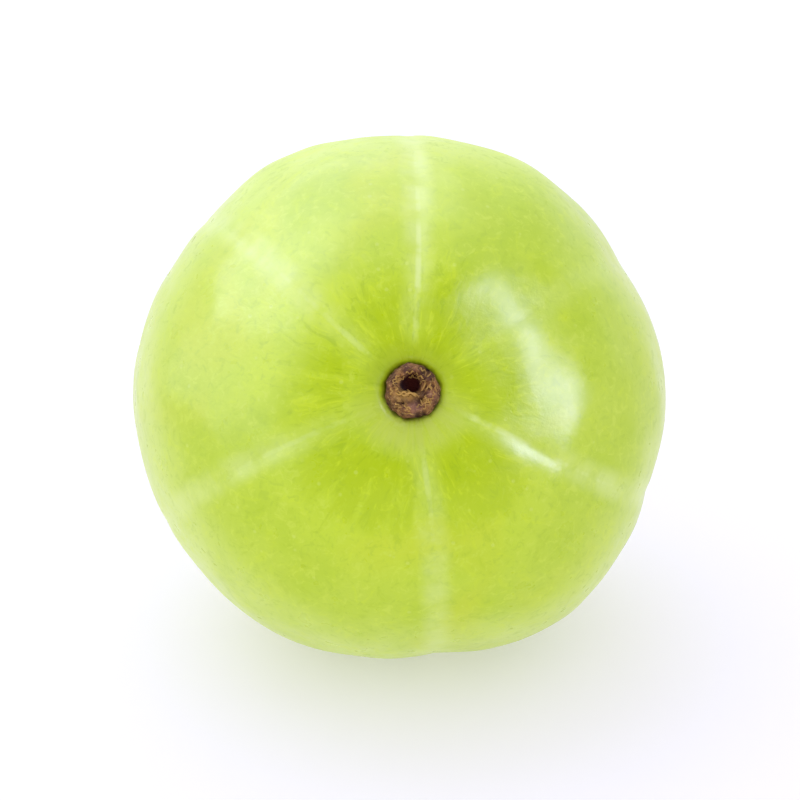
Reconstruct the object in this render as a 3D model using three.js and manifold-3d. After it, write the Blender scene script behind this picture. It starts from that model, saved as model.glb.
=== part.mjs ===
// An Indian gooseberry (amla, Phyllanthus emblica): one whole, fresh, pale green fruit that lies on its
// side, with the dry woody stub of its stalk in the dimple at the stem end.
//
// Units are millimetres and +Z is up. The origin is the middle of the small flat spot that the fruit
// rests on. The stem end faces -Y and leans up.
//
// Both pieces are shaped in the fruit's own frame, where +Z runs along its axis towards the stem and
// +Y ends uppermost. They are then turned and moved to the way the fruit lies.
import * as THREE from 'three';
import { ParametricGeometry } from 'three/addons/geometries/ParametricGeometry.js';
import { mergeVertices } from 'three/addons/utils/BufferGeometryUtils.js';
import Module from 'manifold-3d';

const wasm = await Module();
wasm.setup();

// The whole fruit.
const WIDTH = 40;                   // across the equator, over the mean outline
const LENGTH = 36;                  // along the axis, before the two dimples
const FULLNESS = 2.15;              // exponent of the profile: 2 is an ellipse, and more is fuller
const LEAN = 60;                    // degrees from upright to the way the axis lies
const SPOT_DEPTH = 0.5;             // how much of its lowest side the resting spot takes off

// Six furrows divide the fruit into unequal lobes. Each row gives a furrow's place round the axis, in
// degrees seen from the stem end, and how far the outline reaches, over the mean, in that furrow and at
// the crest of the lobe after it.
const LOBES = [
  { angle: 30, furrow: 0.979, crest: 1.005 },
  { angle: 86, furrow: 0.995, crest: 1.012 },
  { angle: 138, furrow: 0.990, crest: 1.008 },
  { angle: 204, furrow: 0.986, crest: 0.995 },
  { angle: 277, furrow: 0.967, crest: 1.028 },
  { angle: 337, furrow: 0.994, crest: 1.001 },
];

// The dimples at the two ends: the depth on the axis, and the radius over which they fade.
const STEM_DIMPLE = { depth: 0.9, reach: 4.2 };
const STYLE_DIMPLE = { depth: 0.6, reach: 3.4 };

// The stub of the stalk, and the socket in the flesh that holds it.
const STUB_RADIUS = 1.9;
const STUB_ABOVE = 0.75;            // from the bottom of the dimple up to the stub's rim
const STUB_BELOW = 0.6;             // from the bottom of the dimple down to the stub's base
const STUB_RIPPLE = 0.03;           // how far its six-sided outline departs from a circle
const PIT_DEPTH = 0.6;              // the pit in the stub's end, below its rim
const PIT_SHIFT = 0.6;              // how far the pit's middle sits off the axis, towards +Y
const SOCKET_GAP = 0.25;            // clear space between the stub and the flesh

// Facets of the curved surfaces.
const FRUIT_AROUND = 72;
const FRUIT_ALONG = 40;
const STUB_AROUND = 36;

const DIMPLE_BOTTOM = LENGTH / 2 - STEM_DIMPLE.depth;
const turn = new THREE.Matrix4().makeRotationX(THREE.MathUtils.degToRad(LEAN));

// How far the outline reaches at an angle round the axis, over the mean. It swings smoothly from each
// furrow out to the crest of its lobe, and back in to the next furrow.
function outline(degrees) {
  const first = LOBES[0].angle;
  const place = first + THREE.MathUtils.euclideanModulo(degrees - first, 360);
  const index = LOBES.findLastIndex((lobe) => lobe.angle <= place);
  const lobe = LOBES[index];
  const next = LOBES[(index + 1) % LOBES.length];
  const span = THREE.MathUtils.euclideanModulo(next.angle - lobe.angle, 360);
  const part = (place - lobe.angle) / span;
  const furrow = part < 0.5 ? lobe.furrow : next.furrow;
  return THREE.MathUtils.lerp(furrow, lobe.crest, (1 - Math.cos(2 * Math.PI * part)) / 2);
}

function dimple({ depth, reach }, radius) {
  return depth * Math.exp(-((radius / reach) ** 2));
}

// One point of the fruit's surface. u runs round the axis, and v from the style end to the stem end.
function fruitPoint(u, v, target) {
  const side = Math.max(Math.sin(Math.PI * v), 0);
  const up = -Math.cos(Math.PI * v);
  const radius = (WIDTH / 2) * side ** (2 / FULLNESS);
  const height = (LENGTH / 2) * Math.sign(up) * Math.abs(up) ** (2 / FULLNESS);
  const swell = 1 + (outline(360 * u) - 1) * side;
  const angle = 2 * Math.PI * u;
  target.set(radius * Math.cos(angle), radius * Math.sin(angle), height).multiplyScalar(swell);
  target.z += up < 0 ? dimple(STYLE_DIMPLE, radius) : -dimple(STEM_DIMPLE, radius);
}

// A closed geometry as a solid. Triangles that lost a corner when the vertices at a pole merged are
// left out.
function solidOf(geometry) {
  const bare = geometry.clone();
  bare.deleteAttribute('normal');
  bare.deleteAttribute('uv');
  const merged = mergeVertices(bare, 1e-3);
  const corners = merged.index.array;
  const triangles = [];
  for (let i = 0; i < corners.length; i += 3) {
    const triangle = Array.from(corners.slice(i, i + 3));
    if (new Set(triangle).size === 3) triangles.push(...triangle);
  }
  const vertProperties = new Float32Array(merged.attributes.position.array);
  const triVerts = Uint32Array.from(triangles);
  return new wasm.Manifold(new wasm.Mesh({ numProp: 3, vertProperties, triVerts }));
}

// A solid's surface as a geometry.
function geometryOf(solid) {
  const { vertProperties, triVerts } = solid.getMesh();
  const geometry = new THREE.BufferGeometry();
  geometry.setAttribute('position', new THREE.BufferAttribute(vertProperties, 3));
  geometry.setIndex(new THREE.BufferAttribute(triVerts, 1));
  geometry.computeVertexNormals();
  return geometry;
}

// The round socket that the stub sits in, as the space to cut away. It reaches out past the dimple.
function socketSpace() {
  const radius = STUB_RADIUS * (1 + STUB_RIPPLE) + SOCKET_GAP;
  const bottom = DIMPLE_BOTTOM - STUB_BELOW - SOCKET_GAP;
  const depth = LENGTH / 2 - bottom;
  const socket = new THREE.CylinderGeometry(radius, radius, depth, STUB_AROUND);
  socket.rotateX(Math.PI / 2);
  socket.translate(0, 0, bottom + depth / 2);
  return solidOf(socket);
}

// The flesh as it lies, cut flat at z = 0 and moved so that the middle of the flat spot is the origin.
// The fruit's own middle is returned with it, because the stub is placed from there.
function restingFlesh() {
  const fruit = solidOf(new ParametricGeometry(fruitPoint, FRUIT_AROUND, FRUIT_ALONG));
  const lying = geometryOf(fruit.subtract(socketSpace())).applyMatrix4(turn);
  lying.computeBoundingBox();
  const middle = new THREE.Vector3(0, 0, -lying.boundingBox.min.z - SPOT_DEPTH);
  lying.translate(middle.x, middle.y, middle.z);

  const ground = new THREE.BoxGeometry(2 * WIDTH, 2 * WIDTH, WIDTH);
  ground.translate(0, 0, -WIDTH / 2);
  const geometry = geometryOf(solidOf(lying).subtract(solidOf(ground)));

  const spot = flatSpot(geometry).getCenter(new THREE.Vector3());
  geometry.translate(-spot.x, -spot.y, 0);
  middle.sub(spot);
  return { geometry, middle };
}

// The box round the vertices that lie on z = 0.
function flatSpot(geometry) {
  const spot = new THREE.Box3();
  const corner = new THREE.Vector3();
  for (let i = 0; i < geometry.attributes.position.count; i += 1) {
    corner.fromBufferAttribute(geometry.attributes.position, i);
    if (Math.abs(corner.z) < 1e-4) spot.expandByPoint(corner);
  }
  return spot;
}

// The stub: a short six-sided woody ring, narrower at its base, with a pit in its end. The profile runs
// from the base, up the side, over the rim and down into the pit.
function stubGeometry() {
  const base = DIMPLE_BOTTOM - STUB_BELOW;
  const rim = DIMPLE_BOTTOM + STUB_ABOVE;
  const profile = [
    new THREE.Vector2(0, base),
    new THREE.Vector2(0.8 * STUB_RADIUS, base),
    new THREE.Vector2(0.95 * STUB_RADIUS, base + 0.3),
    new THREE.Vector2(STUB_RADIUS, rim - 0.5),
    new THREE.Vector2(0.94 * STUB_RADIUS, rim - 0.15),
    new THREE.Vector2(0.8 * STUB_RADIUS, rim),
    new THREE.Vector2(0.5 * STUB_RADIUS, rim - 0.1),
    new THREE.Vector2(0.35 * STUB_RADIUS, rim - 0.8 * PIT_DEPTH),
    new THREE.Vector2(0, rim - PIT_DEPTH),
  ];
  const geometry = new THREE.LatheGeometry(profile, STUB_AROUND);
  geometry.rotateX(Math.PI / 2);

  const positions = geometry.attributes.position;
  const point = new THREE.Vector3();
  for (let i = 0; i < positions.count; i += 1) {
    point.fromBufferAttribute(positions, i);
    const radius = Math.hypot(point.x, point.y);
    const ripple = 1 + STUB_RIPPLE * Math.cos(6 * Math.atan2(point.y, point.x));
    const shift = PIT_SHIFT * (1 - radius / STUB_RADIUS);
    positions.setXY(i, point.x * ripple, point.y * ripple + shift);
  }
  geometry.computeVertexNormals();
  return geometry;
}

const flesh = restingFlesh();
const fleshMaterial = new THREE.MeshStandardMaterial({ color: 0xc4da5c, roughness: 0.32, metalness: 0 });
const fruitFlesh = new THREE.Mesh(flesh.geometry, fleshMaterial);
fruitFlesh.name = 'fruit_flesh';

const stubMaterial = new THREE.MeshStandardMaterial({ color: 0x7d5a38, roughness: 0.9, metalness: 0 });
const stemStub = new THREE.Mesh(stubGeometry(), stubMaterial);
stemStub.name = 'stem_stub';
stemStub.applyMatrix4(turn);
stemStub.position.copy(flesh.middle);

const gooseberry = new THREE.Group();
gooseberry.add(fruitFlesh, stemStub);

export default gooseberry;
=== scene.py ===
# The looks of a whole Indian gooseberry (amla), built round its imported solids.
#
# Lengths in this script are millimetres until a mesh or a light is made, where MM turns them into
# metres. Both pieces are shaped in the fruit's own frame, with +Z along its axis towards the stem and
# +Y uppermost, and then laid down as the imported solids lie.
from math import cos, pi, radians, sin

import bpy
import numpy as np
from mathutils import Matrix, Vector


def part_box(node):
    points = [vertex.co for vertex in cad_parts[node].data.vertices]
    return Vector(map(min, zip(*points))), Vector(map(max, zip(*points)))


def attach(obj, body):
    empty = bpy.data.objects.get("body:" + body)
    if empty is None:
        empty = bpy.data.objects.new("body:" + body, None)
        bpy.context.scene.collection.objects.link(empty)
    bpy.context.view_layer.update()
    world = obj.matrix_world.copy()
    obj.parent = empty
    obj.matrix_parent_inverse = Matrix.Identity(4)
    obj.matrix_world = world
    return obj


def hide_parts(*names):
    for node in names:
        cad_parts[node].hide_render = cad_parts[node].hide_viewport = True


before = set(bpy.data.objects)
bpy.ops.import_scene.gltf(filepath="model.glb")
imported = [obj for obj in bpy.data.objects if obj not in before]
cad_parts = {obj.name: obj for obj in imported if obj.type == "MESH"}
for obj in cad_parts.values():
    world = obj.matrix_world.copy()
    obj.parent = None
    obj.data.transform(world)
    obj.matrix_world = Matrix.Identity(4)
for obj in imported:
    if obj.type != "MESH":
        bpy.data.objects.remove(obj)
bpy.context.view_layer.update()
MM = 0.001

# ---------------------------------------------------------------------------------------------------
# The fruit's form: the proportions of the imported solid, over the fruit's width.
# ---------------------------------------------------------------------------------------------------
LENGTH = 0.9                        # along the axis, before the dimples
FULLNESS = 2.15                     # exponent of the profile
LEAN = radians(60)                  # from upright to the way the axis lies
STEM_DIMPLE = (0.0225, 0.105)       # depth, and the radius over which it fades
STYLE_DIMPLE = (0.015, 0.085)

# Each lobe: the furrow's angle in degrees seen from the stem end, how far the outline reaches over the
# mean in the furrow and at the lobe's crest, how plain the furrow's pale line is, and how far the line
# wanders to each side in degrees.
LOBES = [
    (30, 0.979, 1.005, 0.30, 2.4),
    (86, 0.995, 1.012, 1.00, -0.9),
    (138, 0.990, 1.008, 0.75, 3.0),
    (204, 0.986, 0.995, 0.75, 2.4),
    (277, 0.967, 1.028, 0.72, -1.4),
    (337, 0.994, 1.001, 0.95, -3.4),
]

AROUND = 384                        # the mesh: columns round the axis
ALONG = 254                         # and rows from the stem end to the style end


def furrow_angles(turn):
    """The angle of each furrow where turn, in radians, runs from the stem end, 0, to the style end, pi."""
    return [radians(lobe[0] + lobe[4] * sin(2.2 * turn + 1.3 * i)) for i, lobe in enumerate(LOBES)]


def lobe_reach(angles, furrows):
    """How far the outline reaches over the mean at these angles: a low arch between two furrows."""
    reach = np.ones_like(angles)
    for i, start in enumerate(furrows):
        after = (i + 1) % len(LOBES)
        span = (furrows[after] - start) % (2 * pi)
        part = ((angles - start) % (2 * pi)) / span
        ends = np.where(part < 0.5, LOBES[i][1], LOBES[after][1])
        arch = np.sin(pi * np.clip(part, 0, 1)) ** 1.6
        reach = np.where(part < 1, ends + (LOBES[i][2] - ends) * arch, reach)
    return reach


def seam_fields(angles, furrows, radius):
    """The distance to the nearest furrow's line in millimetres, and how plain that line is."""
    nearest = np.full_like(angles, np.inf)
    strength = np.zeros_like(angles)
    for lobe, furrow in zip(LOBES, furrows):
        off = np.abs((angles - furrow + pi) % (2 * pi) - pi) * radius
        strength = np.where(off < nearest, lobe[3], strength)
        nearest = np.minimum(nearest, off)
    return nearest, strength


def waves(points, seed, count, wavelength, spread=0.35):
    """A smooth random field of about unit size, made of plane waves in random directions."""
    rng = np.random.default_rng(seed)
    total = np.zeros(len(points))
    for _ in range(count):
        direction = rng.normal(size=3)
        direction /= np.linalg.norm(direction)
        length = wavelength * (1 + spread * rng.uniform(-1, 1))
        total += np.sin(points @ direction * 2 * pi / length + rng.uniform(0, 2 * pi))
    return total / np.sqrt(count / 2)


def fade(value, start, end):
    """Rises smoothly from 0 at start to 1 at end, or falls if end is below start."""
    part = np.clip((value - start) / (end - start), 0, 1)
    return part * part * (3 - 2 * part)


def profile(width):
    """Radius and height of the mean profile at each row, and the distance along it from the stem."""
    turn = np.linspace(0, pi, ALONG + 1)
    side, up = np.clip(np.sin(turn), 0, 1), np.cos(turn)
    radius = width / 2 * side ** (2 / FULLNESS)
    height = width * LENGTH / 2 * np.sign(up) * np.abs(up) ** (2 / FULLNESS)
    steps = np.hypot(np.diff(radius), np.diff(height))
    return turn, radius, height, np.concatenate([[0], np.cumsum(steps)])


def fruit_rows(width):
    """The fruit's plain surface as rows of points in its own frame, from the stem end. With it come,
    for each point, the furrow fields, the distance from the stem end and the angle, and the whole
    distance from end to end."""
    turns, radii, heights, polar = profile(width)
    angles = np.arange(AROUND) * 2 * pi / AROUND
    points, fields = [], []
    for turn, radius, height, along in zip(turns, radii, heights, polar):
        furrows = furrow_angles(turn)
        swell = 1 + (lobe_reach(angles, furrows) - 1) * sin(turn)
        depth, reach = (d * width for d in (STEM_DIMPLE if turn < pi / 2 else STYLE_DIMPLE))
        dip = depth * np.exp(-((radius / reach) ** 2)) * (-1 if turn < pi / 2 else 1)
        seam, plain = seam_fields(angles, furrows, radius)
        row = np.stack([radius * np.cos(angles), radius * np.sin(angles), np.full(AROUND, height)], 1)
        row *= swell[:, None]
        row[:, 2] += dip
        points.append(row)
        fields.append(np.stack([seam, plain, np.full(AROUND, along), angles], 1))
    return np.array(points), np.array(fields), polar[-1]


def lay_down(points):
    """Turns points from the fruit's own frame to the way it lies."""
    x, y, z = points[..., 0], points[..., 1], points[..., 2]
    return np.stack([x, y * cos(LEAN) - z * sin(LEAN), y * sin(LEAN) + z * cos(LEAN)], -1)


def fit_to_frame():
    """The fruit's width, and where its middle is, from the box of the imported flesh."""
    low, high = (np.array(corner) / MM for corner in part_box("fruit_flesh"))
    lying = lay_down(fruit_rows(1.0)[0]).reshape(-1, 3)
    width = (high[0] - low[0]) / np.ptp(lying[:, 0])
    middle = np.array([
        low[0] - lying[:, 0].min() * width,
        low[1] - lying[:, 1].min() * width,
        high[2] - lying[:, 2].max() * width,
    ])
    return width, middle


WIDTH, MIDDLE = fit_to_frame()
AXIS = lay_down(np.array([0.0, 0.0, 1.0]))
STUB_LOW, STUB_HIGH = (np.array(corner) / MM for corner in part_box("stem_stub"))
STUB_RADIUS = (STUB_HIGH[0] - STUB_LOW[0]) / 2
STUB_MIDDLE = float(((STUB_LOW + STUB_HIGH) / 2 - MIDDLE) @ AXIS)


# ---------------------------------------------------------------------------------------------------
# Meshes.
# ---------------------------------------------------------------------------------------------------
def make_object(name, points, faces, fields, material):
    """A smooth-shaded object from points in millimetres, with each field as an attribute."""
    mesh = bpy.data.meshes.new(name)
    mesh.from_pydata((np.asarray(points) * MM).tolist(), [], faces)
    mesh.polygons.foreach_set("use_smooth", np.ones(len(mesh.polygons), bool))
    for field, values in fields.items():
        kind = "FLOAT_VECTOR" if np.ndim(values) == 2 else "FLOAT"
        attribute = mesh.attributes.new(field, kind, "POINT")
        key = "vector" if kind == "FLOAT_VECTOR" else "value"
        attribute.data.foreach_set(key, np.asarray(values, np.float32).ravel())
    mesh.materials.append(material)
    made = bpy.data.objects.new(name, mesh)
    bpy.context.scene.collection.objects.link(made)
    return made


def closed_rows(rows, columns):
    """Faces over a grid of rows that closes round, with one point at each end. The first and last
    points are the two poles, and the faces look away from a first pole that is on top."""
    faces = []
    last = 1 + rows * columns
    for j in range(columns):
        k = (j + 1) % columns
        faces.append((0, 1 + j, 1 + k))
        faces.append((last, last - columns + k, last - columns + j))
    for i in range(rows - 1):
        upper, lower = 1 + i * columns, 1 + (i + 1) * columns
        for j in range(columns):
            k = (j + 1) % columns
            faces.append((upper + j, lower + j, lower + k, upper + k))
    return faces


def without_pole_copies(grid):
    """The points or values of a grid of rows, with one in place of all of those at each end."""
    flat = grid[1:-1].reshape((-1,) + grid.shape[2:])
    return np.concatenate([grid[:1, 0], flat, grid[-1:, 0]])


# ---------------------------------------------------------------------------------------------------
# Shader nodes.
# ---------------------------------------------------------------------------------------------------
def new_material(name):
    """A new material, and the shader in which its nodes are made."""
    material = bpy.data.materials.new(name)
    return material, Shader(material, "Principled BSDF")


def srgb(red, green, blue):
    """A colour given as 0 to 255 display values, as the linear RGBA that a shader takes."""
    scaled = (channel / 255 for channel in (red, green, blue))
    return (*(c / 12.92 if c <= 0.04045 else ((c + 0.055) / 1.055) ** 2.4 for c in scaled), 1)


class Shader:
    """The nodes of a material or of the world. Each method adds a node and returns its output."""

    def __init__(self, owner, final):
        owner.use_nodes = True
        self.tree = owner.node_tree
        self.surface = self.tree.nodes[final].inputs

    def put(self, socket, value):
        if isinstance(value, bpy.types.NodeSocket):
            self.tree.links.new(value, socket)
        else:
            socket.default_value = value

    def field(self, name, output="Fac"):
        node = self.tree.nodes.new("ShaderNodeAttribute")
        node.attribute_name = name
        return node.outputs[output]

    def millimetres(self):
        """Where a point is, in millimetres."""
        place = self.tree.nodes.new("ShaderNodeTexCoord").outputs["Object"]
        return self.scaled(place, (1 / MM, 1 / MM, 1 / MM))

    def math(self, operation, *values):
        node = self.tree.nodes.new("ShaderNodeMath")
        node.operation = operation
        for socket, value in zip(node.inputs, values):
            self.put(socket, value)
        return node.outputs[0]

    def fade(self, value, start, end, low=0.0, high=1.0):
        """Goes smoothly from low, where value is at start, to high, where it is at end."""
        node = self.tree.nodes.new("ShaderNodeMapRange")
        node.interpolation_type = "SMOOTHSTEP"
        if end < start:
            start, end, low, high = end, start, high, low
        for socket, number in zip(node.inputs, (value, start, end, low, high)):
            self.put(socket, number)
        return node.outputs[0]

    def scaled(self, vector, scale):
        """A vector multiplied by a scale for each axis."""
        node = self.tree.nodes.new("ShaderNodeVectorMath")
        node.operation = "MULTIPLY"
        self.put(node.inputs[0], vector)
        node.inputs[1].default_value = scale
        return node.outputs[0]

    def noise(self, vector, scale, detail=2.0, roughness=0.5, distortion=0.0):
        node = self.tree.nodes.new("ShaderNodeTexNoise")
        numbers = {"Scale": scale, "Detail": detail, "Roughness": roughness, "Distortion": distortion}
        self.put(node.inputs["Vector"], vector)
        for key, number in numbers.items():
            node.inputs[key].default_value = number
        return node.outputs["Fac"]

    def cells(self, vector, scale):
        """The distance to the nearest of a set of scattered points, and a random value for each."""
        node = self.tree.nodes.new("ShaderNodeTexVoronoi")
        self.put(node.inputs["Vector"], vector)
        node.inputs["Scale"].default_value = scale
        return node.outputs["Distance"], node.outputs["Color"]

    def mix(self, factor, first, second):
        """A colour that goes from first, at factor 0, to second, at 1."""
        node = self.tree.nodes.new("ShaderNodeMix")
        node.data_type = "RGBA"
        colours = [socket for socket in node.inputs if socket.type == "RGBA"]
        self.put(node.inputs[0], factor)
        self.put(colours[0], first)
        self.put(colours[1], second)
        return next(socket for socket in node.outputs if socket.type == "RGBA")

    def choose(self, factor, first, second):
        """The same as mix, for numbers. A Mix node's inputs 2 and 3 are its pair of numbers."""
        node = self.tree.nodes.new("ShaderNodeMix")
        for index, value in ((0, factor), (2, first), (3, second)):
            self.put(node.inputs[index], value)
        return node.outputs[0]

    def bump(self, height, strength, distance, normal=None):
        """A normal tilted by a height from 0 to 1 that stands for so many millimetres."""
        node = self.tree.nodes.new("ShaderNodeBump")
        node.inputs["Strength"].default_value = strength
        node.inputs["Distance"].default_value = distance * MM
        self.put(node.inputs["Height"], height)
        if normal is not None:
            self.put(node.inputs["Normal"], normal)
        return node.outputs["Normal"]


# ---------------------------------------------------------------------------------------------------
# The flesh.
# ---------------------------------------------------------------------------------------------------
CREASE_DEPTH = 0.07                 # the fine crease along each furrow
CREASE_WIDTH = 0.55
COLLAR_RADIUS = 1.97                # the groove where the flesh meets the stub
COLLAR_DEPTH = 0.20
SOCKET_DEPTH = 1.3                  # the hollow under the stub, which the stub fills
UNEVENNESS = 0.045                  # the height of the skin's slow unevenness
SPOT_SOFTNESS = 0.12                # how softly the flat spot's edge rolls up

# Where the flesh is most yellow-green near the stem: for each lobe, how strong the patch is, and how
# far from the stem end it starts and stops.
PATCHES = [
    (0.85, 3.0, 8.6),
    (0.75, 3.2, 8.0),
    (0.55, 4.6, 9.0),
    (0.95, 5.0, 10.2),
    (1.00, 4.4, 10.4),
    (0.90, 3.0, 9.0),
]


def patch_field(angles, furrows, along):
    """How strongly each point belongs to its lobe's yellow-green patch near the stem."""
    field = np.zeros_like(angles)
    for i, start in enumerate(furrows):
        strength, inner, outer = PATCHES[i]
        span = (furrows[(i + 1) % len(LOBES)] - start) % (2 * pi)
        part = ((angles - start) % (2 * pi)) / span
        arch = np.sin(pi * np.clip(part, 0, 1)) ** 0.45
        rise = fade(along, inner - 0.9, inner + 0.9)
        fall = fade(along, outer + 2.6, outer - 2.2)
        field = np.where(part < 1, strength * arch * rise * fall, field)
    return field


def flesh_surface():
    """The fine points of the flesh as it lies, and the fields that its material reads."""
    rows, fields, whole = fruit_rows(WIDTH)
    seam, plain, along, angles = (fields[..., i] for i in range(4))
    outward = rows / np.linalg.norm(rows, axis=-1, keepdims=True)
    relief = -CREASE_DEPTH * plain * np.exp(-((seam / CREASE_WIDTH) ** 2)) * fade(along, 2.5, 6.0)
    relief -= COLLAR_DEPTH * np.exp(-(((along - COLLAR_RADIUS) / 0.3) ** 2))
    relief -= SOCKET_DEPTH * fade(along, COLLAR_RADIUS, COLLAR_RADIUS - 0.6)
    flat = rows.reshape(-1, 3)
    slow = waves(flat, 11, 18, 9.0) + 0.5 * waves(flat, 12, 24, 4.2)
    relief += UNEVENNESS * slow.reshape(relief.shape) * fade(along, 2.0, 6.0)
    lying = lay_down(rows + outward * relief[..., None]) + MIDDLE
    z = lying[..., 2]
    lying[..., 2] = (z + np.sqrt(z * z + SPOT_SOFTNESS ** 2)) / 2

    patch = np.array([
        patch_field(angles[i], furrow_angles(turn), along[i])
        for i, turn in enumerate(np.linspace(0, pi, ALONG + 1))
    ])
    streaks = np.stack([np.cos(angles), np.sin(angles), along], -1)
    upper = np.sin(angles)
    crown = fade((lying[..., 2] - MIDDLE[2]) / (lying[..., 2].max() - MIDDLE[2]), 0.70, 0.95)
    # The crown is the uppermost skin, whose wax is duller.
    named = {
        "seam": seam, "plain": plain, "along": along, "patch": patch,
        "streaks": streaks, "upper": upper, "crown": crown, "from_style": whole - along,
    }
    return lying, named


def flesh_material():
    """Waxy, slightly translucent, pale yellow-green skin with paler lines over the furrows."""
    material, s = new_material("amla_skin")
    streaks = s.field("streaks", "Vector")
    mm = s.millimetres()
    seam, plain = s.field("seam"), s.field("plain")
    along, patch, upper = s.field("along"), s.field("patch"), s.field("upper")
    from_style = s.field("from_style")

    # The ground colour: duller away from the stem, with slow cloudy variation, and a painted rim
    # sheen: paler from where the fruit is widest on, standing for the glow of light along the outline.
    outward = s.fade(along, 7.0, 18.0)
    ground = s.mix(outward, srgb(200, 223, 40), srgb(190, 214, 56))
    cloud = s.noise(mm, 0.16, 3, 0.55)
    # Painted rim sheen: a pale band that stands for light along the outline, not for the skin's colour.
    painted_rim_sheen = s.math("MULTIPLY", s.fade(along, 17.0, 25.0), s.fade(cloud, 0.35, 0.65, 0.75, 0.45))
    ground = s.mix(s.fade(cloud, 0.40, 0.66, 0, 0.75), ground, srgb(181, 208, 34))
    blush = s.noise(mm, 0.09, 2, 0.5, 0.6)
    ground = s.mix(s.fade(blush, 0.52, 0.70, 0, 0.4), ground, srgb(206, 217, 38))
    ground = s.mix(painted_rim_sheen, ground, srgb(213, 232, 122))

    # Yellow-green patches round the stem, with edges drawn out into ragged rays.
    rays = s.noise(s.scaled(streaks, (7, 7, 0.22)), 1.0, 4, 0.65, 0.3)
    ragged = s.math("MULTIPLY", patch, s.fade(rays, 0.25, 0.62, 0.35, 1.15))
    ground = s.mix(s.fade(ragged, 0.10, 0.70), ground, srgb(184, 209, 0))

    # Fine pale fibres that run from end to end, strongest near the stem.
    fibres = s.noise(s.scaled(streaks, (9, 9, 0.50)), 1.0, 4, 0.65, 1.4)
    near = s.fade(along, 3.0, 15.0, 0.80, 0.28)
    ground = s.mix(s.math("MULTIPLY", s.fade(fibres, 0.53, 0.68), near), ground, srgb(207, 227, 36))
    dark = s.math("MULTIPLY", s.fade(fibres, 0.46, 0.32), near)
    ground = s.mix(dark, ground, srgb(168, 197, 0))

    # Mottling: small pale flecks and short wavy marks.
    flecks = s.noise(mm, 1.5, 3, 0.65, 0.8)
    calm = s.fade(ragged, 0.1, 0.7, 1.0, 0.35)
    pale = s.math("MULTIPLY", s.fade(flecks, 0.52, 0.70, 0, 0.6), calm)
    ground = s.mix(pale, ground, srgb(205, 225, 72))
    deep = s.math("MULTIPLY", s.fade(flecks, 0.46, 0.30, 0, 0.45), calm)
    ground = s.mix(deep, ground, srgb(170, 199, 38))
    nearest, chance = s.cells(mm, 0.8)
    dot = s.math("MULTIPLY", s.fade(nearest, 0.16, 0.07), s.fade(chance, 0.45, 0.6))
    ground = s.mix(s.math("MULTIPLY", dot, 0.3), ground, srgb(218, 234, 120))

    # The pale lines over the furrows: a thin clear core in a soft, broken halo.
    broken = s.noise(s.scaled(streaks, (3, 3, 0.45)), 1.0, 3, 0.6)
    soft = s.math("MULTIPLY", s.fade(seam, 1.6, 0.2), s.fade(broken, 0.3, 0.65, 0.25, 0.75))
    soft = s.math("MULTIPLY", soft, s.fade(along, 4.0, 16.0, 0.35, 0.9))
    core = s.math("MULTIPLY", s.fade(seam, 0.42, 0.06), s.fade(broken, 0.35, 0.6, 0.25, 1.0))
    core = s.math("MULTIPLY", core, s.math("MULTIPLY", plain, s.fade(along, 12.0, 22.0, 1.0, 0.7)))
    line = s.math("MULTIPLY", s.math("MAXIMUM", soft, core), plain)
    line = s.math("MULTIPLY", line, s.fade(along, 2.8, 5.5))
    line = s.math("MULTIPLY", line, s.fade(from_style, 1.2, 4.0, 0.3, 1.0))
    ground = s.mix(s.math("MULTIPLY", line, 0.85), ground, srgb(224, 240, 156))

    # Close to the stub: painted light on the dimple's lower wall below it, painted shade on its upper
    # wall above it, and a brown edge against the wood that is partly painted shade in the groove.
    # Painted light: paler skin on the lower wall of the dimple round the stub, the wall that faces the
    # light.
    below = s.math("MULTIPLY", s.fade(upper, 0.15, -0.6), s.fade(along, 5.2, 3.4))
    below = s.math("MULTIPLY", below, s.fade(rays, 0.28, 0.60, 0.25, 0.85))
    ground = s.mix(below, ground, srgb(198, 216, 88))
    # Painted shade: greener, darker skin on the upper wall of the dimple round the stub.
    painted_dimple_shade = s.math("MULTIPLY", s.fade(upper, -0.2, 0.6), s.fade(along, 4.2, 2.9))
    ground = s.mix(s.math("MULTIPLY", painted_dimple_shade, 0.6), ground, srgb(168, 192, 12))
    # The brown edge is partly the flesh's own brown rim and partly painted shade in the groove at the
    # stub.
    edge = s.math("ADD", along, s.math("MULTIPLY", s.noise(mm, 1.6, 2), 0.5))
    ground = s.mix(s.fade(edge, 2.5, 2.1, 0, 0.9), ground, srgb(96, 84, 14))

    # The style end: a small brown scar in a greener dimple.
    ground = s.mix(s.fade(from_style, 2.6, 0.9, 0, 0.6), ground, srgb(160, 186, 40))
    scar = s.math("ADD", from_style, s.math("MULTIPLY", s.noise(mm, 3.0, 2), 0.35))
    ground = s.mix(s.fade(scar, 0.75, 0.5), ground, srgb(96, 70, 36))

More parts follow.
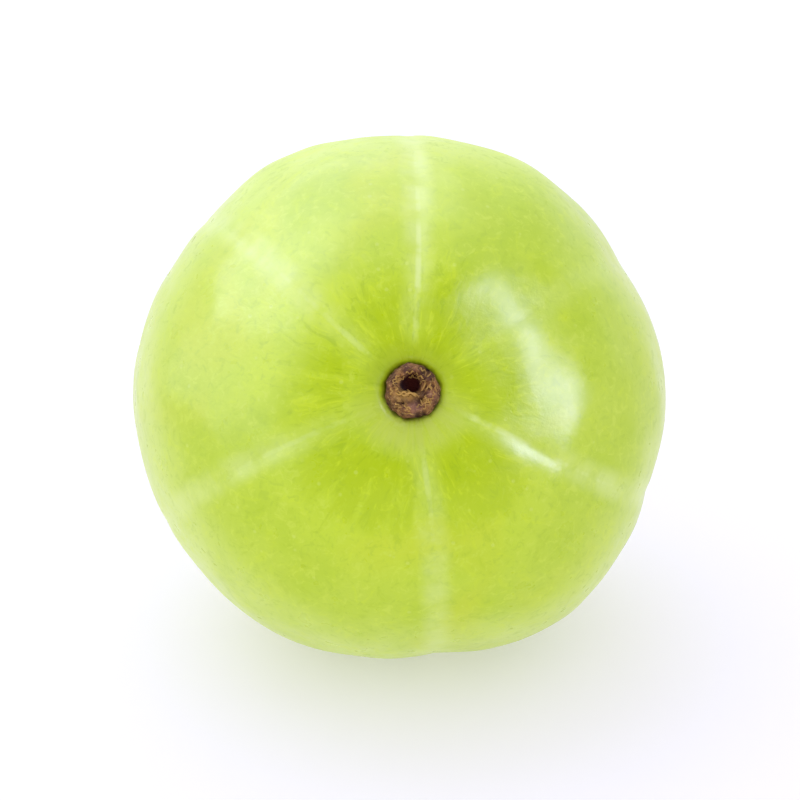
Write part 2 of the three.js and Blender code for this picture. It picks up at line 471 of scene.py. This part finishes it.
    s.put(s.surface["Base Color"], ground)
    waxy = s.math("MULTIPLY", s.field("crown"), 0.30)
    uneven = s.fade(s.noise(mm, 0.5, 3, 0.6), 0.3, 0.7, 0.27, 0.36)
    s.put(s.surface["Roughness"], s.math("ADD", uneven, waxy))
    grain = s.noise(mm, 5.0, 2, 0.6)
    pores = s.fade(nearest, 0.10, 0.03, 0.0, 1.0)
    relief = s.math("SUBTRACT", s.noise(mm, 1.1, 2, 0.5), s.math("MULTIPLY", pores, 0.3))
    normal = s.bump(grain, 0.12, 0.05)
    normal = s.bump(fibres, 0.16, 0.10, normal)
    s.put(s.surface["Normal"], s.bump(relief, 0.25, 0.08, normal))
    s.surface["IOR"].default_value = 1.38
    s.surface["Subsurface Weight"].default_value = 0.35
    s.surface["Subsurface Radius"].default_value = (1.0, 0.95, 0.35)
    s.surface["Subsurface Scale"].default_value = 1.6 * MM
    s.surface["Coat Weight"].default_value = 0.12
    s.surface["Coat Roughness"].default_value = 0.20
    return material


def build_flesh():
    lying, named = flesh_surface()
    faces = closed_rows(ALONG - 1, AROUND)
    fields = {name: without_pole_copies(values) for name, values in named.items()}
    flesh = make_object("amla_flesh", without_pole_copies(lying), faces, fields, flesh_material())
    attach(flesh, "root")
    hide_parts("fruit_flesh")
    return flesh


# ---------------------------------------------------------------------------------------------------
# The stub of the stalk.
# ---------------------------------------------------------------------------------------------------
STUB_HEIGHT = 1.35
PIT = (-0.08, 0.54, 0.72, 0.8)      # the pit's place across and up, its radius and its depth
STUB_AROUND = 168
STUB_TOP_ROWS = 60
STUB_SIDE_ROWS = 14
SHORT_FIBRES = 46                   # how many short fibres are strewn round the pit

# Lumps on the end of the stub: place across and up, size and height.
LUMPS = [
    (-0.64, 1.34, 0.32, 0.30),
    (0.36, 1.45, 0.26, 0.28),
    (-1.36, 0.52, 0.34, 0.22),
    (-1.20, -0.60, 0.38, 0.26),
    (0.02, -1.16, 0.46, 0.44),
    (1.28, -0.40, 0.40, 0.32),
    (0.92, -1.12, 0.26, 0.20),
    (-0.66, -1.28, 0.30, 0.26),
    (1.18, 0.72, 0.30, 0.22),
]

# Holes and notches near the edge: place across and up, size and depth.
NOTCHES = [
    (1.16, 1.46, 0.38, 0.55),
    (0.34, -1.82, 0.30, 0.70),
    (0.74, -1.64, 0.20, 0.45),
    (-1.78, -0.86, 0.26, 0.35),
    (-1.42, 1.26, 0.22, 0.30),
    (-0.72, -0.86, 0.14, 0.22),
    (0.62, -0.70, 0.16, 0.25),
]


def hill(x, y, place, size):
    return np.exp(-(((x - place[0]) ** 2 + (y - place[1]) ** 2) / size ** 2))


def stub_top(x, y):
    """The height of the stub's end over its mean rim, with the shares of each colour there."""
    radius = np.hypot(x, y)
    off_pit = np.hypot(x - PIT[0], (y - PIT[1]) * 1.06)
    wobble = 0.06 * np.sin(3 * np.arctan2(y - PIT[1], x - PIT[0]) + 0.8)
    pit = fade(off_pit + wobble, PIT[2] + 0.16, PIT[2] - 0.26)
    height = -0.25 * fade(radius, 1.5, 0.4) - PIT[3] * pit
    height -= 0.5 * fade(radius, 0.80 * STUB_RADIUS, 1.02 * STUB_RADIUS) ** 2
    for across, up, size, rise in LUMPS:
        height += rise * hill(x, y, (across, up), size) * (1 - pit)
    notch_and_side_shade = np.zeros_like(x)
    for across, up, size, depth in NOTCHES:
        share = hill(x, y, (across, up), size)
        height -= depth * share
        notch_and_side_shade = np.maximum(notch_and_side_shade, share)
    points = np.stack([x, y, np.zeros_like(x)], -1).reshape(-1, 3)
    rough = waves(points, 21, 26, 0.9) + 0.8 * waves(points, 22, 30, 0.42)
    ridges = np.sin(8.5 * (x * 0.75 - y * 0.55) + 1.2 * rough.reshape(x.shape))
    bark = 0.045 * rough.reshape(x.shape) + 0.05 * ridges * fade(x, -0.2, 0.9)
    height += bark * (1 - 0.7 * pit)
    golden = hill(x * 0.55, y, (-0.28, -0.28), 0.42) * (1 - pit)
    mauve = hill(x, y, (0.02, -1.28), 0.50) + 0.6 * hill(x, y, (1.36, -0.42), 0.42)
    mauve += 0.5 * hill(x, y, (-0.1, 1.5), 0.42)
    return height, pit, notch_and_side_shade, golden, np.clip(mauve, 0, 1)


def stub_surface():
    """The stub as rows of points from the middle of its end, out over the rim and down to its base."""
    angles = np.arange(STUB_AROUND) * 2 * pi / STUB_AROUND
    ripple = 0.018 * np.cos(3 * angles + 1.1) + 0.020 * np.cos(7 * angles + 0.5)
    ripple += 0.014 * np.sin(12 * angles)
    outline = STUB_RADIUS * (0.97 + ripple)
    rows, shades = [], []
    rim = STUB_MIDDLE + STUB_HEIGHT / 2
    for i in range(STUB_TOP_ROWS + 1):
        share = i / STUB_TOP_ROWS
        x, y = share * outline * np.cos(angles), share * outline * np.sin(angles)
        height, pit, notch_and_side_shade, golden, mauve = stub_top(x, y)
        rows.append(np.stack([x, y, rim + height], 1))
        shades.append(np.stack([pit, notch_and_side_shade, golden, mauve], 1))
    edge = rows[-1]
    for i in range(1, STUB_SIDE_ROWS + 1):
        share = i / STUB_SIDE_ROWS
        inward = 1 + 0.03 * sin(pi * share) - 0.22 * share ** 2
        z = edge[:, 2] * (1 - share) + (rim - STUB_HEIGHT) * share
        grooves = 1 + 0.02 * np.sin(23 * angles + 4 * share) * sin(pi * share)
        rows.append(np.stack([edge[:, 0] * inward * grooves, edge[:, 1] * inward * grooves, z], 1))
        # Painted shade on the stub's side where it meets the flesh, carried in the same field as the
        # notches.
        shades.append(np.tile([0.0, 0.55, 0.0, 0.0], (STUB_AROUND, 1)))
    base = np.tile([0, 0, rim - STUB_HEIGHT], (STUB_AROUND, 1))
    rows.append(base)
    shades.append(np.zeros((STUB_AROUND, 4)))
    return np.array(rows), np.array(shades)


def strand(path, thickness, sides=7):
    """A closed, tapered fibre through the points given."""
    path = np.array(path, float)
    rings = []
    steps = np.linspace(0, len(path) - 1, 4 * len(path))
    centres = np.stack([np.interp(steps, range(len(path)), path[:, k]) for k in range(3)], 1)
    centres[1:-1] = (centres[:-2] + 2 * centres[1:-1] + centres[2:]) / 4
    along = np.gradient(centres, axis=0)
    along /= np.linalg.norm(along, axis=1, keepdims=True)
    side = np.cross(along, [0, 0, 1])
    side /= np.linalg.norm(side, axis=1, keepdims=True)
    over = np.cross(side, along)
    turn = np.arange(sides) * 2 * pi / sides
    for i, centre in enumerate(centres):
        size = thickness / 2 * (0.25 + 0.75 * sin(pi * (i + 0.5) / len(centres)) ** 0.5)
        ring = np.cos(turn)[:, None] * side[i] + np.sin(turn)[:, None] * over[i]
        rings.append(centre + size * ring)
    ends = [np.tile(centres[0], (sides, 1)), np.tile(centres[-1], (sides, 1))]
    return np.array([ends[0], *rings, ends[1]])


# Loose fibres on the stub's end: points across, up and over the rim, thickness, and how golden.
STRANDS = [
    ([(-1.40, 0.06, 0.00), (-0.95, -0.28, 0.10), (-0.62, -0.02, 0.06), (-0.30, -0.34, 0.10)], 0.15, 1.0),
    ([(-1.05, 0.02, -0.02), (-0.62, -0.36, 0.08), (-0.18, -0.10, 0.08), (0.22, -0.40, 0.06)], 0.17, 1.0),
    ([(-0.55, 0.02, -0.16), (-0.22, -0.16, 0.02), (0.12, -0.18, 0.04), (0.42, -0.42, 0.02)], 0.13, 0.9),
    ([(-0.38, 0.10, -0.42), (-0.26, 0.02, -0.12), (-0.20, -0.20, 0.06)], 0.11, 0.9),
    ([(0.62, -0.02, -0.10), (0.86, 0.42, 0.05), (1.02, 0.92, 0.06), (1.30, 1.18, -0.04)], 0.14, 0.6),
    ([(0.86, -0.06, -0.02), (1.12, 0.34, 0.08), (1.34, 0.70, 0.06), (1.60, 0.86, -0.06)], 0.12, 0.5),
    ([(0.52, 0.46, -0.30), (0.78, 0.80, -0.02), (0.98, 1.30, 0.02)], 0.11, 0.5),
    ([(-1.30, 1.02, -0.02), (-1.02, 0.72, 0.04), (-1.08, 0.40, 0.04), (-1.44, 0.16, 0.0)], 0.13, 0.6),
    ([(-1.02, 1.30, 0.00), (-0.62, 1.52, 0.16), (-0.16, 1.46, 0.12), (0.30, 1.66, 0.12)], 0.16, 0.2),
    ([(-1.30, -0.86, 0.06), (-0.92, -1.02, 0.12), (-0.66, -1.34, 0.10)], 0.14, 0.5),
    ([(-0.62, -0.80, 0.02), (-0.30, -1.02, 0.10), (-0.14, -1.52, 0.12)], 0.12, 0.4),
    ([(0.52, -0.62, 0.04), (0.66, -1.06, 0.08), (0.50, -1.52, 0.02)], 0.13, 0.6),
    ([(1.05, -0.10, 0.06), (1.44, -0.30, 0.16), (1.72, -0.72, 0.00)], 0.15, 0.2),
]


def short_fibres(count, seed):
    """Short wavy fibres that lie on the stub's end and run round the pit, in the form of STRANDS."""
    rng = np.random.default_rng(seed)
    fibres = []
    for _ in range(count):
        middle, radius = rng.uniform(0, 2 * pi), rng.uniform(0.95, 1.62)
        sweep, wave = rng.uniform(0.25, 0.55), rng.uniform(0.05, 0.13) * rng.choice([-1, 1])
        turns = middle + sweep * np.linspace(-0.5, 0.5, 5)
        reach = radius + wave * np.array([0, 1, -1, 1, 0])
        x, y = reach * np.cos(turns), reach * np.sin(turns)
        z = stub_top(x, y)[0] + np.array([0.0, 0.10, 0.11, 0.10, 0.0])
        fibres.append((list(zip(x, y, z)), rng.uniform(0.07, 0.12), rng.uniform(0.3, 1.0)))
    return fibres


def stub_material():
    """Dry, fibrous brown wood with golden torn fibres and a near-black pit."""
    material, s = new_material("amla_stub")
    mm = s.millimetres()
    pit, notch_and_side_shade = s.field("pit"), s.field("notch_and_side_shade")
    golden, mauve = s.field("golden"), s.field("mauve")
    patches = s.noise(mm, 1.3, 3, 0.6)
    wood = s.mix(s.fade(patches, 0.38, 0.62), srgb(84, 50, 25), srgb(150, 106, 60))
    grain = s.noise(s.scaled(mm, (3.0, 7.0, 4.0)), 1.0, 4, 0.7, 0.6)
    wood = s.mix(s.fade(grain, 0.50, 0.34, 0, 0.85), wood, srgb(56, 30, 16))
    wood = s.mix(s.fade(grain, 0.54, 0.68, 0, 0.75), wood, srgb(204, 168, 116))
    wood = s.mix(s.math("MULTIPLY", golden, 0.85), wood, srgb(202, 160, 84))
    wood = s.mix(s.math("MULTIPLY", mauve, 0.6), wood, srgb(152, 104, 94))
    # Dark in the holes and notches, and on the stub's side, where the dark is painted shade against the
    # flesh.
    wood = s.mix(s.math("MULTIPLY", notch_and_side_shade, 0.9), wood, srgb(48, 26, 10))
    wood = s.mix(s.fade(pit, 0.1, 0.85), wood, srgb(64, 18, 12))
    s.put(s.surface["Base Color"], wood)
    s.put(s.surface["Roughness"], s.fade(grain, 0.3, 0.7, 0.62, 0.9))
    s.put(s.surface["Normal"], s.bump(grain, 0.8, 0.14))
    s.surface["Specular IOR Level"].default_value = 0.15
    return material


def build_stub():
    rows, shades = stub_surface()
    points = [without_pole_copies(rows)]
    fields = [without_pole_copies(shades)]
    faces = closed_rows(len(rows) - 2, STUB_AROUND)
    rim = STUB_MIDDLE + STUB_HEIGHT / 2
    for path, thickness, gold in STRANDS + short_fibres(SHORT_FIBRES, 31):
        lifted = [(x, y, rim + z - 0.06) for x, y, z in path]
        tube = strand(lifted, thickness)
        first = sum(len(part) for part in points)
        faces += [tuple(first + corner for corner in face[::-1])
                  for face in closed_rows(len(tube) - 2, tube.shape[1])]
        points.append(without_pole_copies(tube))
        fields.append(np.tile([0.0, 0.0, gold, 0.0], (len(points[-1]), 1)))
    lying = lay_down(np.concatenate(points)) + MIDDLE
    values = np.concatenate(fields)
    named = {name: values[:, i] for i, name in enumerate(("pit", "notch_and_side_shade", "golden", "mauve"))}
    stub = make_object("amla_stub", lying, faces, named, stub_material())
    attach(stub, "root")
    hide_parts("stem_stub")
    return stub


# ---------------------------------------------------------------------------------------------------
# The studio: a white floor, white surroundings, softboxes and the camera.
# ---------------------------------------------------------------------------------------------------
VIEW_ELEVATION = radians(28)
VIEW_AZIMUTH = radians(-3.3)        # the camera stands a little to the left of the stem end's axis
VIEW_DISTANCE = 214
FLOOR_SIDE = 12000
VIEW_SHARE = 0.66                   # how much of the picture's width the fruit fills

WORLD_STRENGTH = 0.99
LEFT_EXCESS = 0.14                  # how much brighter the light from the left is than the mean
BACK_SHINE = 1.6                    # how bright the surroundings are in reflections, behind the fruit
FLOOR_GLOW = 0.36                   # keeps the shadow as light as the photograph's
COOL_WHITE = (0.74, 0.80, 1.0)
SHINE_WHITE = (0.64, 0.63, 1.0)      # cool, so that highlights on the green skin come out white


def toward(azimuth, elevation):
    """A unit vector. Azimuth 0 is -Y, where the stem end faces, and grows towards +X."""
    return np.array([
        sin(azimuth) * cos(elevation), -cos(azimuth) * cos(elevation), sin(elevation),
    ])


def aim(thing, place, target):
    thing.location = Vector(place) * MM
    thing.rotation_euler = Vector(np.array(target) - np.array(place)).to_track_quat("-Z", "Y").to_euler()


def build_camera():
    camera = bpy.data.objects.new("camera", bpy.data.cameras.new("camera"))
    bpy.context.scene.collection.objects.link(camera)
    aim(camera, MIDDLE + VIEW_DISTANCE * toward(VIEW_AZIMUTH, VIEW_ELEVATION), MIDDLE)
    camera.data.angle = 2 * np.arctan(WIDTH / 2 / VIEW_DISTANCE / VIEW_SHARE)
    camera.data.clip_start = 0.01
    bpy.context.scene.camera = camera


def build_softbox(name, azimuth, elevation, distance, size, power, glossy_only):
    """An area light that faces the fruit. One that is glossy only is seen in reflections alone."""
    light = bpy.data.lights.new(name, "AREA")
    light.shape = "RECTANGLE"
    light.size, light.size_y = (side * MM for side in size)
    light.energy = power
    light.color = SHINE_WHITE if glossy_only else COOL_WHITE
    box = bpy.data.objects.new(name, light)
    bpy.context.scene.collection.objects.link(box)
    aim(box, MIDDLE + distance * toward(azimuth, elevation), MIDDLE)
    box.visible_camera = False
    box.visible_diffuse = not glossy_only
    return box


def floor_material():
    material, s = new_material("floor_white")
    tone = s.noise(s.millimetres(), 0.006, 2)
    s.put(s.surface["Base Color"], s.mix(tone, (0.64, 0.615, 0.73, 1), (0.66, 0.635, 0.75, 1)))
    s.surface["Roughness"].default_value = 0.9
    s.surface["Emission Color"].default_value = (0.97, 0.95, 1, 1)
    s.surface["Emission Strength"].default_value = FLOOR_GLOW
    s.surface["Specular IOR Level"].default_value = 0.1
    return material


def build_floor():
    mesh = bpy.data.meshes.new("floor")
    half = FLOOR_SIDE / 2 * MM
    corners = [(-half, -half, 0), (half, -half, 0), (half, half, 0), (-half, half, 0)]
    mesh.from_pydata(corners, [], [(0, 1, 2, 3)])
    mesh.materials.append(floor_material())
    floor = bpy.data.objects.new("floor", mesh)
    bpy.context.scene.collection.objects.link(floor)


def build_world():
    """White all round. Its light on the fruit falls off a little from left to right, and what shows
    of it in reflections is cool and fades out towards the side that the stem end faces."""
    world = bpy.data.worlds.new("studio")
    bpy.context.scene.world = world
    s = Shader(world, "Background")
    direction = s.tree.nodes.new("ShaderNodeTexCoord").outputs["Generated"]
    rays = s.tree.nodes.new("ShaderNodeLightPath").outputs

    def cosine(way):
        node = s.tree.nodes.new("ShaderNodeVectorMath")
        node.operation = "DOT_PRODUCT"
        s.put(node.inputs[0], direction)
        node.inputs[1].default_value = tuple(way)
        return node.outputs["Value"]

    to_front = cosine(toward(radians(28), radians(30)))
    to_right = cosine(toward(radians(80), radians(10)))
    shine = s.fade(to_front, 0.1, 0.9, BACK_SHINE, 0.0)
    light = s.math("MULTIPLY_ADD", to_right, -LEFT_EXCESS * WORLD_STRENGTH, WORLD_STRENGTH)
    unseen = s.choose(rays["Is Glossy Ray"], light, shine)
    s.put(s.surface["Strength"], s.choose(rays["Is Camera Ray"], unseen, 1.0))
    s.put(s.surface["Color"], s.mix(rays["Is Glossy Ray"], (1, 1, 1, 1), (*COOL_WHITE, 1)))


build_camera()
build_world()
build_floor()
build_softbox("key", radians(-150), radians(62), 450, (420, 380), 0.4, False)
build_softbox("key_shine", radians(-138), radians(56), 420, (700, 460), 6.0, True)
build_softbox("strip_shine", radians(57), radians(31), 400, (125, 320), 2.5, True)
build_softbox("glint", radians(61), radians(9), 400, (70, 90), 0.35, True)
build_softbox("left_shine", radians(-78), radians(15), 400, (460, 620), 2.5, True)
build_flesh()
build_stub()
bpy.context.scene.view_settings.view_transform = "Standard"
